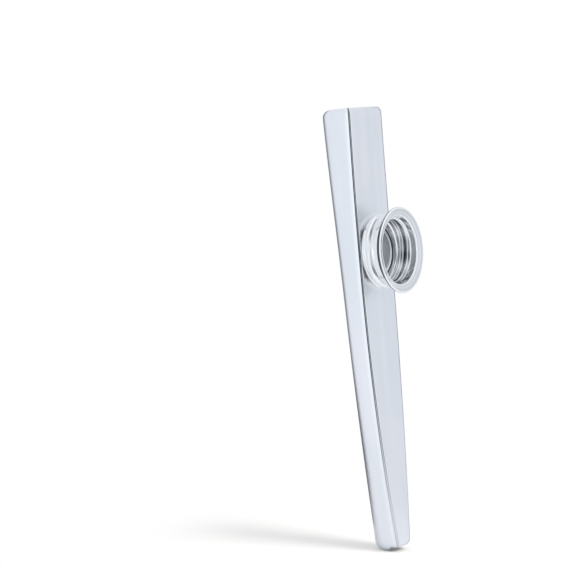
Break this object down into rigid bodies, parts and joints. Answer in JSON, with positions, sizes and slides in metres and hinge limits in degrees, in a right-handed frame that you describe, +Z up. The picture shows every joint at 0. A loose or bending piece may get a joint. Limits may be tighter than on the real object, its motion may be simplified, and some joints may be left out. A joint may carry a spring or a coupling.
{
  "type": "kazoo",
  "caption": "Metal kazoo with a satin tapered body, a screw-in flanged crown over its turret, and a clamped membrane under the crown.",
  "frame": {"origin": "middle of the body's length, on the surface that the kazoo lies on, belly down", "axes": "+X from the mouth end to the narrow end, +Z up through the turret, +Y across the body"},
  "size_m": [0.1206, 0.0234, 0.0179],
  "materials": {
    "satin_body": "satin, fine even grain with a faint cool tint",
    "bright_turret": "polished, turned and rolled",
    "ring_card": "matt",
    "film": "thin translucent film, slightly glossy"
  },
  "bodies": {
    "body": {"lower_shell": "satin_body", "upper_shell": "satin_body", "collar": "bright_turret"},
    "membrane": {"membrane_ring": "ring_card", "membrane_film": "film"},
    "crown": {"crown": "bright_turret"}
  },
  "joints": [
    {"name": "crown_turn", "type": "hinge", "parent": "body", "child": "membrane", "pos_m": [-0.0211, 0, 0.00947], "axis": [0.0281, 0, 0.9996], "range_deg": [0, 720]},
    {"name": "crown_lift", "type": "slide", "parent": "membrane", "child": "crown", "axis": [0.0281, 0, 0.9996], "range_m": [0, 0.0048]}
  ],
  "couplings": [
    {"joint": "crown_lift", "follows": "crown_turn", "m_per_rad": 0.00038197}
  ]
}
